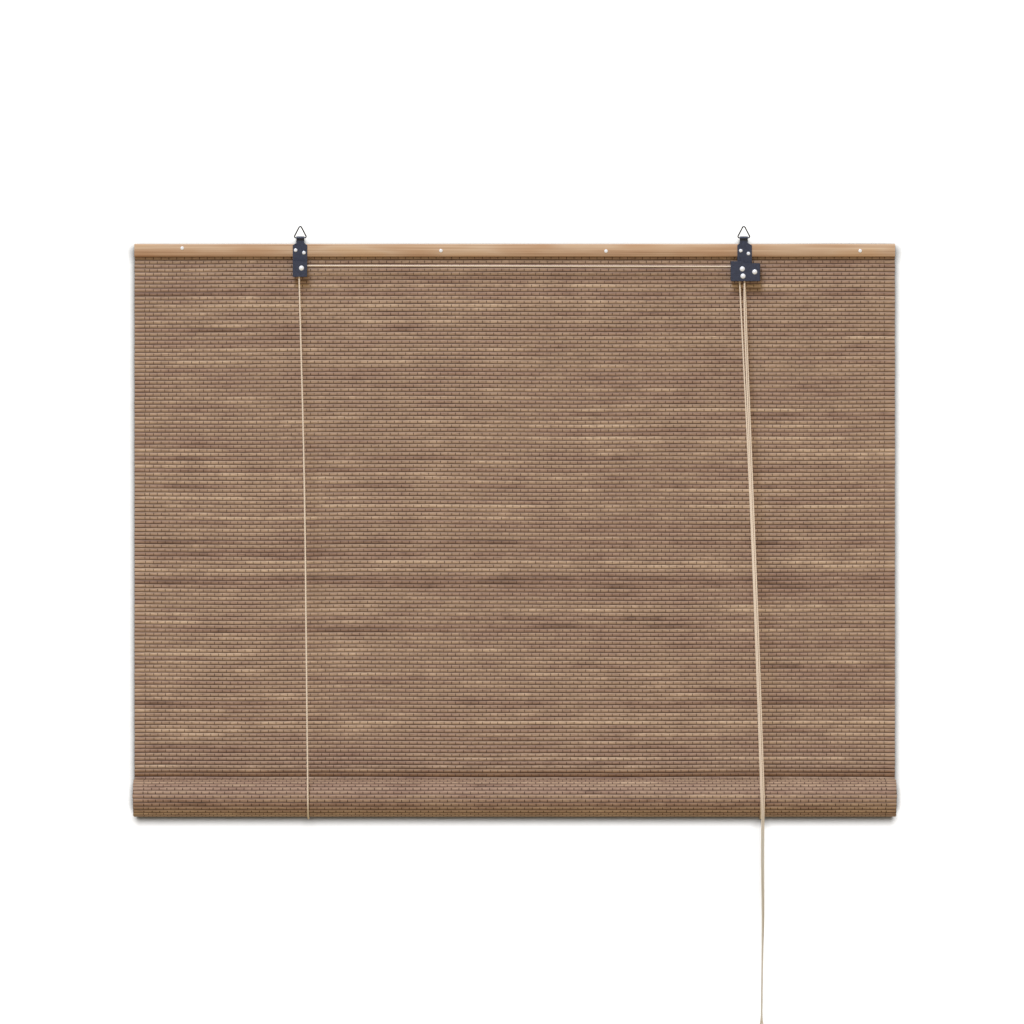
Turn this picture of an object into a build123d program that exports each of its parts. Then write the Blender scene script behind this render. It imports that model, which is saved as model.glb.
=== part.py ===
from build123d import *
import math
import os

# Bamboo roller blind, hung by two wire rings and partly rolled up. Sizes are in millimetres.
# X runs along the battens to the viewer's right, Y towards the wall and Z up.
# The origin is at mid-width, in the wall plane, at the height where the hooks bear in the rings.
# A depth is a distance from the wall plane towards the viewer, a drop one below the hooks.

# Fits that several pieces share
joint_gap = 0.3
running_gap = 0.05
fixed_gap = 0.02
overrun = 2.0

# Mat of split bamboo, woven with warp threads
blind_width = 1000.0
mat_thickness = 1.8
splint_pitch = 5.25
groove_width = 0.9
groove_depth = 0.35
slit_height = 0.4
selvedge_width = 13.0
rows_per_slit = 2

# Battens that clamp the mat's top edge and the cord ends
batten_height = 17.0
batten_thickness = 4.5
batten_edge_radius = 1.0
batten_drop = 21.8

# Roll at the foot of the mat
roll_drop = 748.8
roll_radius = 25.7
turn_pitch = 2.4
rod_radius = 6.0
core_gap = 0.6

# Nails
nail_radius = 0.8
nail_head_radius = 2.3
nail_head_height = 1.0
nail_rim_height = 0.4
nail_crown_radius = 1.4
nail_tip_depth = 1.2
batten_nail_shares = (-0.437, -0.097, 0.12, 0.454)
batten_nail_falls = (5.7, 9.0, 9.6, 9.2)

# Wire rings
ring_wire_radius = 0.85
ring_drop = 13.9
ring_apex_angle = 55.0
ring_bend_radius = 1.8
ring_butt_gap = 0.2

# Painted sheet steel of both brackets
sheet = 1.0
bend_radius = 0.8
neck_width = 10.5
plate_width = 19.0
shoulder_drop = 20.6
shoulder_height = 3.0
channel_depth = 6.8
channel_drop = 44.8
corner_radius = 1.2

# Left bracket: where its ring hangs, and its places from there
left_ring_x = -281.8
left_plate_shift = -0.4
left_axle_shift = 2.2
left_axle_fall = 9.1
left_foot_height = 11.3
left_nail_shifts = (-5.8, 5.2)
left_nail_falls = (8.3, 11.7)

# Lock bracket: where its ring hangs, and its places from there
lock_ring_x = 301.0
lock_plate_shift = 1.1
guide_axle_shift = -3.3
guide_axle_fall = 10.2
lock_mouth_width = 15.2
lock_step_shift = 1.6
lock_step_height = 2.6
anvil_fall = 9.4
lock_foot_height = 6.6
cam_pin_shift = 5.75
cam_pin_rise = 5.5
cam_wall_gap = 2.8
lock_nail_shifts = (-5.1, 5.0)
lock_nail_falls = (9.0, 12.8)

# Rivets that close the brackets and carry the rollers and the cam
pin_radius = 1.1
rivet_head_radius = 3.25
rivet_head_height = 1.3
rivet_tail_radius = 2.0
rivet_tail_height = 0.8

# Grooved rollers, with two cord lanes
roller_side_gap = 0.3
roller_radius = 4.3
roller_groove_radius = 2.0
roller_flange = 0.75

# Toothed cam of the lock
cam_side_gap = 0.6
cam_hub_radius = 3.6
cam_nose_radius = 6.0
cam_tooth_depth = 0.55
cam_tooth_angle = 11.0
cam_first_tooth_angle = 136.0
cam_tooth_count = 9

# Cords
cord_diameter = 2.1
cord_gap = 0.15
sling_gap = 0.3
lane_gap = 0.2
left_sling_shift = 12.7
right_sling_shift = 26.7
cord_seat_height = 13.0

# Pull strands below the roll, twisted lightly about each other
# Each point is (to the right of the right sling, before its front, below the roll's middle)
left_pull_route = [
    (1.5, 1.8, 0.3),
    (0.4, 1.65, 48.0),
    (0.6, 1.5, 99.0),
    (1.6, 1.4, 151.0),
    (1.3, 1.4, 203.0),
    (0.8, 1.45, 255.0),
    (0.2, 1.35, 307.0),
]
right_pull_route = [
    (3.7, 0.2, 0.3),
    (2.7, 0.2, 48.0),
    (2.8, 0.2, 99.0),
    (3.2, -0.3, 151.0),
    (1.5, -0.85, 203.0),
    (0.7, -0.95, 255.0),
    (0.5, -1.0, 307.0),
]
arc_run_share = 0.45

# Hank that holds the rest of the pull cords
hank_shift = 0.4
hank_stand_off = 0.15
hank_length = 53.0
hank_radius = 12.0
hank_bevel = 4.0
tie_width = 7.0
tie_thickness = 1.8
knot_radius = 3.8
knot_height = 8.0
knot_bevel = 2.0

# Places that follow from these sizes
cord_radius = cord_diameter / 2
mat_back = batten_thickness
mat_front = mat_back + mat_thickness
batten_front = mat_front + batten_thickness
plate_front = batten_front + sheet
cheek_back = plate_front + channel_depth
cheek_front = cheek_back + sheet
channel_middle = plate_front + channel_depth / 2
lane_offset = (cord_diameter + lane_gap) / 2
front_lane = channel_middle + lane_offset
rear_lane = channel_middle - lane_offset
cord_path_radius = roller_groove_radius + cord_gap + cord_radius
mat_top = -batten_drop
batten_foot = mat_top - batten_height
mat_bottom = -roll_drop + joint_gap
row_count = round((mat_top - mat_bottom) / splint_pitch)
row_height = (mat_top - mat_bottom) / row_count
roll_depth = mat_back + roll_radius
sling_radius = roll_radius + sling_gap + cord_radius
sling_front = roll_depth + sling_radius
sling_back = roll_depth - sling_radius
eye_radius = ring_wire_radius + running_gap
eye_depth = plate_front + eye_radius
left_plate_x = left_ring_x + left_plate_shift
left_axle_x = left_plate_x + left_axle_shift
left_axle_drop = channel_drop + left_axle_fall
left_bottom_drop = left_axle_drop + left_foot_height
left_lift_x = left_axle_x - cord_path_radius
lock_plate_x = lock_ring_x + lock_plate_shift
guide_axle_x = lock_plate_x + guide_axle_shift
guide_axle_drop = channel_drop + guide_axle_fall
right_lift_x = guide_axle_x - cord_path_radius
pull_x = guide_axle_x + cord_path_radius
anvil_x = pull_x - cord_radius - cord_gap - pin_radius
anvil_drop = guide_axle_drop + anvil_fall
cam_nose_x = pull_x + cord_radius + joint_gap + cam_nose_radius
cam_pin_x = cam_nose_x + cam_pin_shift
cam_pin_drop = anvil_drop - cam_pin_rise
lock_wall_x = cam_pin_x + cam_hub_radius + cam_wall_gap + sheet
lock_open_x = guide_axle_x - lock_mouth_width
lock_step_x = guide_axle_x + lock_step_shift
lock_bottom_drop = anvil_drop + lock_foot_height
left_sling_x = left_lift_x + left_sling_shift
right_sling_x = right_lift_x + right_sling_shift
hank_x = right_sling_x + hank_shift
hank_depth = sling_front + hank_stand_off
hank_top_drop = roll_drop + left_pull_route[-1][-1] + joint_gap
batten_nails = [
    (blind_width * share, batten_drop + fall) for share, fall in zip(batten_nail_shares, batten_nail_falls)
]
left_nails = [
    (left_plate_x + shift, batten_drop + fall) for shift, fall in zip(left_nail_shifts, left_nail_falls)
]
lock_nails = [
    (lock_plate_x + shift, batten_drop + fall) for shift, fall in zip(lock_nail_shifts, lock_nail_falls)
]


# Shapes that several pieces share


def front_plane(depth):
    # Upright plane that faces the viewer, at a depth before the wall
    return Plane.XZ.offset(depth)


def slab(x, width, back, front, low, high):
    # Plain block between two depths and two heights
    middle = Pos(x, -(back + front) / 2, (low + high) / 2)
    return middle * Box(width, front - back, high - low)


def drilling(x, drop, radius, back, front):
    # Round bar from one depth to another, for pins and their holes
    return extrude(front_plane(back) * Pos(x, -drop) * Circle(radius), front - back)


def turned(x, drop, outline):
    # Solid turned about a front-to-back axis from (radius, depth) points
    plane = Plane(origin=(x, 0, -drop), x_dir=(1, 0, 0), z_dir=(0, 0, 1))
    profile = make_face(Polyline(*[(radius, -depth) for radius, depth in outline], close=True))
    return revolve(plane * profile, Axis((x, 0, -drop), (0, 1, 0)))


def group(solids):
    # Like fasteners kept together as separate solids
    return Compound(children=solids)


def write(name, shape):
    shape.label = name
    export_step(shape, f"parts/{name}.step")


# Mat, roll and battens


def nail_holes(back, front):
    # Holes of every nail through one layer
    radius = nail_radius + fixed_gap
    return [drilling(x, drop, radius, back, front) for x, drop in batten_nails + left_nails + lock_nails]


def mat_face(y, inward):
    # One ridged face from the top down: flat crowns with a V groove between splints
    points = [(y, mat_top)]
    for row in range(1, row_count):
        z = mat_top - row * row_height
        points.append((y, z + groove_width / 2))
        points.append((y + inward * groove_depth, z))
        points.append((y, z - groove_width / 2))
    points.append((y, mat_bottom))
    return points


def hanging_mat():
    # Flat part of the mat, with light slits between the splints inside the selvedges
    outline = mat_face(-mat_front, 1) + mat_face(-mat_back, -1)[::-1]
    mat = extrude(Plane.YZ * make_face(Polyline(*outline, close=True)), blind_width / 2, both=True)
    slits = []
    for row in range(1, row_count):
        z = mat_top - row * row_height
        seen = -roll_drop + roll_radius < z < batten_foot
        if seen and row % rows_per_slit == 0:
            width = blind_width - 2 * selvedge_width
            low, high = z - slit_height / 2, z + slit_height / 2
            slits.append(slab(0, width, mat_back - overrun, mat_front + overrun, low, high))
    return mat - (slits + nail_holes(mat_back - overrun, mat_front + overrun))


def turn_radius(angle):
    # Outer radius of the roll, which starts behind and winds down and round to the front
    return roll_radius - turn_pitch * angle / math.tau


def turn_point(angle, inset):
    radius = turn_radius(angle) - inset
    return (radius * math.cos(angle) - roll_depth, -radius * math.sin(angle) - roll_drop)


def between(start, end, share):
    return tuple(a + (b - a) * share for a, b in zip(start, end))


def rolled_mat():
    # All turns as one spiral wall: each splint is a flat, and the outer turn is grooved
    core_radius = rod_radius + core_gap + mat_thickness
    angles = [0.0]
    while turn_radius(angles[-1]) > core_radius:
        angles.append(angles[-1] + row_height / turn_radius(angles[-1]))
    groove_share = groove_width / 2 / row_height
    outer = []
    for start, end in zip(angles, angles[1:]):
        corner, following = turn_point(start, 0), turn_point(end, 0)
        if start < math.tau:
            outer.append(turn_point(start, groove_depth))
            outer.append(between(corner, following, groove_share))
            outer.append(between(following, corner, groove_share))
        else:
            outer.append(corner)
    outer.append(turn_point(angles[-1], 0))
    inner = [turn_point(angle, mat_thickness) for angle in reversed(angles)]
    profile = make_face(Polyline(*outer, *inner, close=True))
    return extrude(Plane.YZ * profile, blind_width / 2, both=True)


def bottom_rod():
    profile = Plane.YZ * Pos(-roll_depth, -roll_drop) * Circle(rod_radius)
    return extrude(profile, blind_width / 2, both=True)


def front_batten():
    lath = slab(0, blind_width, mat_front, batten_front, batten_foot, mat_top)
    edges = lath.edges().filter_by(Axis.X).group_by(Axis.Y)[0]
    lath = fillet(edges, batten_edge_radius)
    return lath - nail_holes(mat_front - overrun, batten_front + overrun)


def rear_batten():
    # The cord ends lie clamped in grooves on the side towards the mat
    lath = slab(0, blind_width, 0, mat_back, batten_foot, mat_top)
    edges = lath.edges().filter_by(Axis.X).group_by(Axis.Y)[-1]
    lath = fillet(edges, batten_edge_radius)
    seat_width = cord_diameter + 2 * fixed_gap
    seat_back = sling_back - cord_radius - fixed_gap
    seat_top = batten_foot + cord_seat_height + joint_gap
    cuts = nail_holes(nail_tip_depth - fixed_gap, mat_back + overrun)
    for x in (left_sling_x, right_sling_x):
        cuts.append(slab(x, seat_width, seat_back, mat_back + overrun, batten_foot - overrun, seat_top))
    return lath - cuts


def nails(places, seat):
    # Nails with bevelled heads on a seat, and their tips in the rear batten
    outline = [
        (0, nail_tip_depth),
        (nail_radius, nail_tip_depth + nail_radius),
        (nail_radius, seat),
        (nail_head_radius, seat),
        (nail_head_radius, seat + nail_rim_height),
        (nail_crown_radius, seat + nail_head_height),
        (0, seat + nail_head_height),
    ]
    return group([turned(x, drop, outline) for x, drop in places])


# Brackets, rings and rivets


def ring(x):
    # Wire triangle whose ends butt inside the bracket's eye
    half_angle = math.radians(ring_apex_angle / 2)
    apex = ring_wire_radius + ring_bend_radius * (1 / math.sin(half_angle) - 1)
    half_base = (apex + ring_drop) * math.tan(half_angle)
    corners = [
        (ring_butt_gap / 2, -ring_drop),
        (half_base, -ring_drop),
        (0, apex),
        (-half_base, -ring_drop),
        (-ring_butt_gap / 2, -ring_drop),
    ]
    path = front_plane(eye_depth) * Pos(x, 0) * FilletPolyline(*corners, radius=ring_bend_radius)
    section = Plane(origin=path @ 0, z_dir=path % 0) * Circle(ring_wire_radius)
    return sweep(section, path=path)


def hanger(ring_x, plate_x, bottom_drop):
    # Nailing plate with shoulders and a neck that is rolled into an eye round the ring
    shoulder_foot = -(shoulder_drop + shoulder_height)
    neck, half_plate = neck_width / 2, plate_width / 2
    outline = [
        (ring_x - neck, -ring_drop),
        (ring_x + neck, -ring_drop),
        (ring_x + neck, -shoulder_drop),
        (plate_x + half_plate, shoulder_foot),
        (plate_x + half_plate, -bottom_drop),
        (plate_x - half_plate, -bottom_drop),
        (plate_x - half_plate, shoulder_foot),
        (ring_x - neck, -shoulder_drop),
    ]
    face = make_face(Polyline(*outline, close=True))
    plate = extrude(front_plane(batten_front) * face, sheet)
    side = Plane.YZ * Pos(-eye_depth, -ring_drop)
    bore = extrude(side * Circle(eye_radius), neck_width, both=True)
    eye = extrude(side * Circle(eye_radius + sheet), neck, both=True)
    return plate + Pos(ring_x, 0, 0) * eye - Pos(ring_x, 0, 0) * bore


def channel(wall_x, open_x, bottom_drop):
    # Back leg, side wall and front cheek, folded from one sheet and open on the other side
    away = math.copysign(1, open_x - wall_x)
    width = abs(open_x - wall_x)
    outer = Rectangle(width, channel_depth + 2 * sheet)
    inner = Pos(away * sheet, 0) * Rectangle(width, channel_depth)
    wall_side = 0 if away > 0 else -1
    outer = fillet(outer.vertices().group_by(Axis.X)[wall_side], bend_radius + sheet)
    inner = fillet(inner.vertices().group_by(Axis.X)[wall_side], bend_radius)
    foot = Pos((wall_x + open_x) / 2, -channel_middle, -bottom_drop)
    body = extrude(foot * (outer - inner), bottom_drop - channel_drop)
    free_corners = body.edges().filter_by(Axis.Y).group_by(Axis.X)[-1 if away > 0 else 0]
    return fillet(free_corners, corner_radius)


def rivet_holes(places):
    radius = pin_radius + fixed_gap
    return [drilling(x, drop, radius, batten_front - overrun, cheek_front + overrun) for x, drop in places]


def plate_holes(places):
    radius = nail_radius + fixed_gap
    back, front = batten_front - overrun, plate_front + overrun
    return [drilling(x, drop, radius, back, front) for x, drop in places]


def left_bracket():
    plate = hanger(left_ring_x, left_plate_x, channel_drop + corner_radius + sheet)
    wall_x, open_x = left_plate_x - plate_width / 2, left_plate_x + plate_width / 2
    body = plate + channel(wall_x, open_x, left_bottom_drop)
    return body - (rivet_holes([(left_axle_x, left_axle_drop)]) + plate_holes(left_nails))


def lock_bracket():
    # The housing is wider than the plate, and its top edge steps down on the wall side
    plate = hanger(lock_ring_x, lock_plate_x, channel_drop + lock_step_height + sheet)
    housing = channel(lock_wall_x, lock_open_x, lock_bottom_drop)
    step_width = lock_wall_x - lock_step_x + overrun
    step_low = -channel_drop - lock_step_height
    back, front = batten_front - overrun, cheek_front + overrun
    step = slab(lock_step_x + step_width / 2, step_width, back, front, step_low, overrun)
    pins = [
        (guide_axle_x, guide_axle_drop),
        (anvil_x, anvil_drop),
        (cam_pin_x, cam_pin_drop),
    ]
    return plate + (housing - step) - (rivet_holes(pins) + plate_holes(lock_nails))


def rivet(x, drop):
    # Pin across the channel with a domed head in front and a clinched tail behind
    outline = [
        (0, batten_front - rivet_tail_height),
        (rivet_tail_radius, batten_front - rivet_tail_height),
        (rivet_tail_radius, batten_front),
        (pin_radius, batten_front),
        (pin_radius, cheek_front),
        (rivet_head_radius, cheek_front),
    ]
    bulge = (rivet_head_radius**2 - rivet_head_height**2) / (2 * rivet_head_height)
    dome_radius = bulge + rivet_head_height
    points = [(radius, -depth) for radius, depth in outline]
    crown = (0, -cheek_front - rivet_head_height)
    dome = RadiusArc(points[-1], crown, dome_radius)
    profile = make_face(Polyline(*points) + dome + Line(crown, points[0]))
    plane = Plane(origin=(x, 0, -drop), x_dir=(1, 0, 0), z_dir=(0, 0, 1))
    return revolve(plane * profile, Axis((x, 0, -drop), (0, 1, 0)))


# Rollers and cam


def roller(x, drop):
    back, front = plate_front + roller_side_gap, cheek_back - roller_side_gap
    bore = pin_radius + running_gap
    outline = [
        (bore, back),
        (roller_radius, back),
        (roller_radius, back + roller_flange),
        (roller_groove_radius, back + roller_flange),
        (roller_groove_radius, front - roller_flange),
        (roller_radius, front - roller_flange),
        (roller_radius, front),
        (bore, front),
    ]
    return turned(x, drop, outline)


def lock_cam():
    # Eccentric cam: a hub on its pin and a toothed nose that faces the anvil across the pull strands
    hub = Pos(cam_pin_x, -cam_pin_drop) * Circle(cam_hub_radius)
    nose = Pos(cam_nose_x, -anvil_drop) * Circle(cam_nose_radius - cam_tooth_depth)
    outline = make_hull([hub.edge(), nose.edge()])
    root_radius = cam_nose_radius - 2 * cam_tooth_depth
    for tooth in range(cam_tooth_count):
        middle = cam_first_tooth_angle + tooth * cam_tooth_angle
        corners = []
        for angle, radius in (
            (middle - cam_tooth_angle / 2, root_radius),
            (middle, cam_nose_radius),
            (middle + cam_tooth_angle / 2, root_radius),
        ):
            turn = math.radians(angle)
            corners.append((cam_nose_x + radius * math.cos(turn), radius * math.sin(turn) - anvil_drop))
        outline += make_face(Polyline((cam_nose_x, -anvil_drop), *corners, close=True))
    bore = Pos(cam_pin_x, -cam_pin_drop) * Circle(pin_radius + running_gap)
    width = channel_depth - 2 * cam_side_gap
    return extrude(front_plane(plate_front + cam_side_gap) * (outline - bore), width)


# Cords


def place(x, depth, drop):
    return Vector(x, -depth, -drop)


def tube(name, path):
    # Cord along a path of straight runs and arcs, with its volume against section times length
    section = Plane(origin=path @ 0, z_dir=path % 0) * Circle(cord_radius)
    solid = sweep(section, path=path)
    share = solid.volume / (math.pi * cord_radius**2 * path.length)
    print(f"{name}: length {path.length:.1f} mm, volume share {share:.4f}")
    write(name, solid)


def bent_path(name, route):
    # Straight runs joined by arcs as large as the runs allow
    points = [place(right_sling_x + x, sling_front + out, roll_drop + fall) for x, out, fall in route]
    radii = []
    for before, corner, after in zip(points, points[1:], points[2:]):
        run = min((corner - before).length, (after - corner).length)
        half_turn = math.radians((corner - before).get_angle(after - corner)) / 2
        radii.append(arc_run_share * run / math.tan(half_turn))
    print(f"{name}: arc radii", ", ".join(f"{radius:.0f}" for radius in radii))
    return FilletPolyline(*points, radius=radii)


def pull_foot(route):
    # End of a pull strand's upper run, level with the roll's middle
    x, out, _ = route[0]
    return place(right_sling_x + x, sling_front + out, roll_drop)


def left_cords():
    left_top, right_top = left_axle_drop - cord_path_radius, guide_axle_drop - cord_path_radius
    corners = [
        place(left_lift_x, front_lane, left_bottom_drop),
        place(left_lift_x, front_lane, left_top),
        place(pull_x, front_lane, right_top),
        place(pull_x, front_lane, lock_bottom_drop),
    ]
    print(f"left_cross_cord: arc radii {cord_path_radius:.2f}, round the rollers")
    tube("left_cross_cord", FilletPolyline(*corners, radius=cord_path_radius))
    top = place(left_lift_x, front_lane, left_bottom_drop + joint_gap)
    tube("left_front_cord", Line(top, place(left_sling_x, sling_front, roll_drop - joint_gap)))
    top = place(pull_x, front_lane, lock_bottom_drop + joint_gap)
    tube("left_pull_upper", Line(top, pull_foot(left_pull_route)))
    tube("left_pull_lower", bent_path("left_pull_lower", left_pull_route))


def right_cords():
    foot = place(right_lift_x, rear_lane, lock_bottom_drop)
    up = Line(foot, place(right_lift_x, rear_lane, guide_axle_drop))
    crest = place(guide_axle_x, rear_lane, guide_axle_drop - cord_path_radius)
    over = ThreePointArc(up @ 1, crest, place(pull_x, rear_lane, guide_axle_drop))
    down = Line(over @ 1, place(pull_x, rear_lane, lock_bottom_drop))
    print(f"right_lock_cord: arc radius {cord_path_radius:.2f}, round the roller")
    tube("right_lock_cord", up + over + down)
    top = place(right_lift_x, rear_lane, lock_bottom_drop + joint_gap)
    tube("right_front_cord", Line(top, place(right_sling_x, sling_front, roll_drop - joint_gap)))
    top = place(pull_x, rear_lane, lock_bottom_drop + joint_gap)
    tube("right_pull_upper", Line(top, pull_foot(right_pull_route)))
    tube("right_pull_lower", bent_path("right_pull_lower", right_pull_route))


def sling_cords(side, x):
    # Half turn under the roll, and the run behind the mat up to its seat in the rear batten
    low = place(x, roll_depth, roll_drop + sling_radius)
    arc = ThreePointArc(place(x, sling_front, roll_drop), low, place(x, sling_back, roll_drop))
    print(f"{side}_sling: arc radius {sling_radius:.2f}, round the roll")
    tube(f"{side}_sling", arc)
    foot = place(x, sling_back, roll_drop - joint_gap)
    head = place(x, sling_back, -batten_foot - cord_seat_height)
    tube(f"{side}_back_cord", Line(foot, head))


def bundle(radius, length, bevel, top_drop):
    # Upright round body with bevelled ends, under the pull strands
    body = Pos(hank_x, -hank_depth, -top_drop - length / 2) * Cylinder(radius, length)
    return chamfer(body.edges().filter_by(GeomType.CIRCLE), bevel)


def hank_tie():
    middle = hank_top_drop + hank_length / 2
    outer = Cylinder(hank_radius + tie_thickness, tie_width)
    inner = Cylinder(hank_radius + fixed_gap, tie_width)
    return Pos(hank_x, -hank_depth, -middle) * (outer - inner)


os.makedirs("parts", exist_ok=True)
write("hanging_mat", hanging_mat())
write("rolled_mat", rolled_mat())
write("bottom_rod", bottom_rod())
write("front_batten", front_batten())
write("rear_batten", rear_batten())
write("batten_nails", nails(batten_nails, batten_front))
write("left_bracket", left_bracket())
write("left_bracket_nails", nails(left_nails, plate_front))
write("left_axle", rivet(left_axle_x, left_axle_drop))
write("left_roller", roller(left_axle_x, left_axle_drop))
write("left_ring", ring(left_ring_x))
write("lock_bracket", lock_bracket())
write("lock_bracket_nails", nails(lock_nails, plate_front))
write("guide_axle", rivet(guide_axle_x, guide_axle_drop))
write("guide_roller", roller(guide_axle_x, guide_axle_drop))
write("anvil_pin", rivet(anvil_x, anvil_drop))
write("cam_pin", rivet(cam_pin_x, cam_pin_drop))
write("lock_cam", lock_cam())
write("right_ring", ring(lock_ring_x))
left_cords()
right_cords()
sling_cords("left", left_sling_x)
sling_cords("right", right_sling_x)
write("pull_cord_hank", bundle(hank_radius, hank_length, hank_bevel, hank_top_drop))
write("hank_tie", hank_tie())
write("pull_cord_knot", bundle(knot_radius, knot_height, knot_bevel, hank_top_drop + hank_length))
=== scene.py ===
import bpy
import math
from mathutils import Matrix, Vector


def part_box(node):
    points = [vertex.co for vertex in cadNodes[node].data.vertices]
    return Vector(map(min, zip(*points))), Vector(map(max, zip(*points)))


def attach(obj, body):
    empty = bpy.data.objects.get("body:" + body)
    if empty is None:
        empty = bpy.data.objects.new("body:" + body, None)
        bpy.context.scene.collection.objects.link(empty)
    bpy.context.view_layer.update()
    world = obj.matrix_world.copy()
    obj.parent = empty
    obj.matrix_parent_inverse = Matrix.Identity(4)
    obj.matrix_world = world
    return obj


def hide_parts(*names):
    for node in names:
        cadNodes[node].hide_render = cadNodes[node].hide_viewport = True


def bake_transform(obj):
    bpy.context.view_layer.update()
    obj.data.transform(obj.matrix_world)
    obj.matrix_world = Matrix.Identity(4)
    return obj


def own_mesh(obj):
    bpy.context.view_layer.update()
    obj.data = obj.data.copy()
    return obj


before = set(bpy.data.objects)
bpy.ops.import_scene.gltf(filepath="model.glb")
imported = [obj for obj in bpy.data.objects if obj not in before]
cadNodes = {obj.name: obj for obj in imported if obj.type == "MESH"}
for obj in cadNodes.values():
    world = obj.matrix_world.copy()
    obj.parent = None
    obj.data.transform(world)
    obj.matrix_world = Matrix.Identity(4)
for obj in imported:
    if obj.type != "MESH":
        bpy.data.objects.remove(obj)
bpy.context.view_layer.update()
scene = bpy.context.scene
matLow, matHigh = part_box("hanging_mat")
rodLow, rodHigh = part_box("bottom_rod")
rollMiddle = (rodLow + rodHigh) / 2
hankLow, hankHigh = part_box("pull_cord_hank")
print("frame loaded:", len(cadNodes), "nodes")


# nodes: one function adds any node, the others name what is added most

def hexColour(code):  # sRGB hex to linear
    parts = [int(code[i:i + 2], 16) / 255 for i in (0, 2, 4)]
    linear = [p / 12.92 if p <= 0.04045 else ((p + 0.055) / 1.055) ** 2.4 for p in parts]
    return (*linear, 1.0)


def addNode(tree, kind, settings=None, inputs=None):  # one node with its settings, values and links
    node = tree.nodes.new(kind)
    for key, value in (settings or {}).items():
        setattr(node, key, value)
    for key, value in (inputs or {}).items():
        if isinstance(value, bpy.types.NodeSocket):
            tree.links.new(value, node.inputs[key])
        else:
            node.inputs[key].default_value = value
    return node


def addMath(tree, operation, *values):
    return addNode(tree, "ShaderNodeMath", {"operation": operation}, dict(enumerate(values))).outputs[0]


def addVectorMath(tree, operation, *values):
    return addNode(tree, "ShaderNodeVectorMath", {"operation": operation}, dict(enumerate(values))).outputs[0]


def addXyz(tree, x=0.0, y=0.0, z=0.0):  # three values as one place
    return addNode(tree, "ShaderNodeCombineXYZ", None, {0: x, 1: y, 2: z}).outputs[0]


def splitXyz(tree, place):  # one place as three values
    return addNode(tree, "ShaderNodeSeparateXYZ", None, {0: place}).outputs


def addNoise(tree, place, scale=1.0, detail=2.0, roughness=0.5):
    values = {"Vector": place, "Scale": scale, "Detail": detail, "Roughness": roughness}
    return addNode(tree, "ShaderNodeTexNoise", None, values).outputs


def addRange(tree, value, fromSpan=(0.0, 1.0), toSpan=(0.0, 1.0), interpolation="LINEAR"):
    values = {"Value": value, "From Min": fromSpan[0], "From Max": fromSpan[1], "To Min": toSpan[0], "To Max": toSpan[1]}
    return addNode(tree, "ShaderNodeMapRange", {"interpolation_type": interpolation}, values).outputs[0]


def addRamp(tree, share, stops):  # colour stops as (place, hex)
    node = addNode(tree, "ShaderNodeValToRGB", None, {"Fac": share})
    elements = node.color_ramp.elements
    while len(elements) < len(stops):
        elements.new(0.5)
    for element, (place, code) in zip(elements, stops):
        element.position = place
        element.color = hexColour(code)
    return node.outputs[0]


def addStainAndShade(tree, share, colour, stain):  # a colour multiplied by another, for real tones and for painted shade
    kind = {"data_type": "RGBA", "blend_type": "MULTIPLY"}
    return addNode(tree, "ShaderNodeMix", kind, {0: share, 6: colour, 7: stain}).outputs[2]


def addBump(tree, shader, height, strength, depth):
    bump = addNode(tree, "ShaderNodeBump", None, {"Strength": strength, "Distance": depth, "Height": height})
    tree.links.new(bump.outputs[0], shader.inputs["Normal"])


def objectPlace(tree):
    return addNode(tree, "ShaderNodeTexCoord").outputs["Object"]


def uvPlace(tree):
    return addNode(tree, "ShaderNodeUVMap", {"uv_map": "UVMap"}).outputs[0]


def newSurface(name, metallic=0.0, roughness=0.5, ior=1.5):  # a material with one shader, ready for its nodes
    surface = bpy.data.materials.new(name)
    surface.use_nodes = True
    shader = surface.node_tree.nodes["Principled BSDF"]
    shader.inputs["Metallic"].default_value = metallic
    shader.inputs["Roughness"].default_value = roughness
    shader.inputs["IOR"].default_value = ior
    return surface, surface.node_tree, shader


def newSpeckled(name, scale, detail, dark, light, **shine):  # a material whose colour is one fine noise
    surface, tree, shader = newSurface(name, **shine)
    noise = addNoise(tree, objectPlace(tree), scale, detail)["Fac"]
    tree.links.new(addRamp(tree, noise, [(0.3, dark), (0.7, light)]), shader.inputs["Base Color"])
    return surface, tree, shader, noise


def newTree(name, sockets):  # a node tree with named inputs, and its input and output nodes
    tree = bpy.data.node_groups.new(name, "GeometryNodeTree")
    tree.interface.new_socket("Geometry", in_out="INPUT", socket_type="NodeSocketGeometry")
    for label, kind in sockets:
        tree.interface.new_socket(label, in_out="INPUT", socket_type="NodeSocket" + kind)
    tree.interface.new_socket("Geometry", in_out="OUTPUT", socket_type="NodeSocketGeometry")
    return tree, addNode(tree, "NodeGroupInput").outputs, addNode(tree, "NodeGroupOutput")


def holdValue(tree, geometry, label, value):  # keeps a value on the geometry for a later node
    node = addNode(tree, "GeometryNodeCaptureAttribute", None, {0: geometry})
    node.capture_items.new("FLOAT", label)
    tree.links.new(value, node.inputs[1])
    return node.outputs


def storeValue(tree, geometry, label, value, kind, domain):  # keeps a value on the finished mesh
    values = {"Geometry": geometry, "Name": label, "Value": value}
    kinds = {"data_type": kind, "domain": domain}
    return addNode(tree, "GeometryNodeStoreNamedAttribute", kinds, values).outputs[0]


def setPlace(tree, geometry, **place):  # Position or Offset
    return addNode(tree, "GeometryNodeSetPosition", None, {"Geometry": geometry, **place}).outputs[0]


def realise(tree, geometry):
    return addNode(tree, "GeometryNodeRealizeInstances", None, {0: geometry}).outputs[0]


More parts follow.
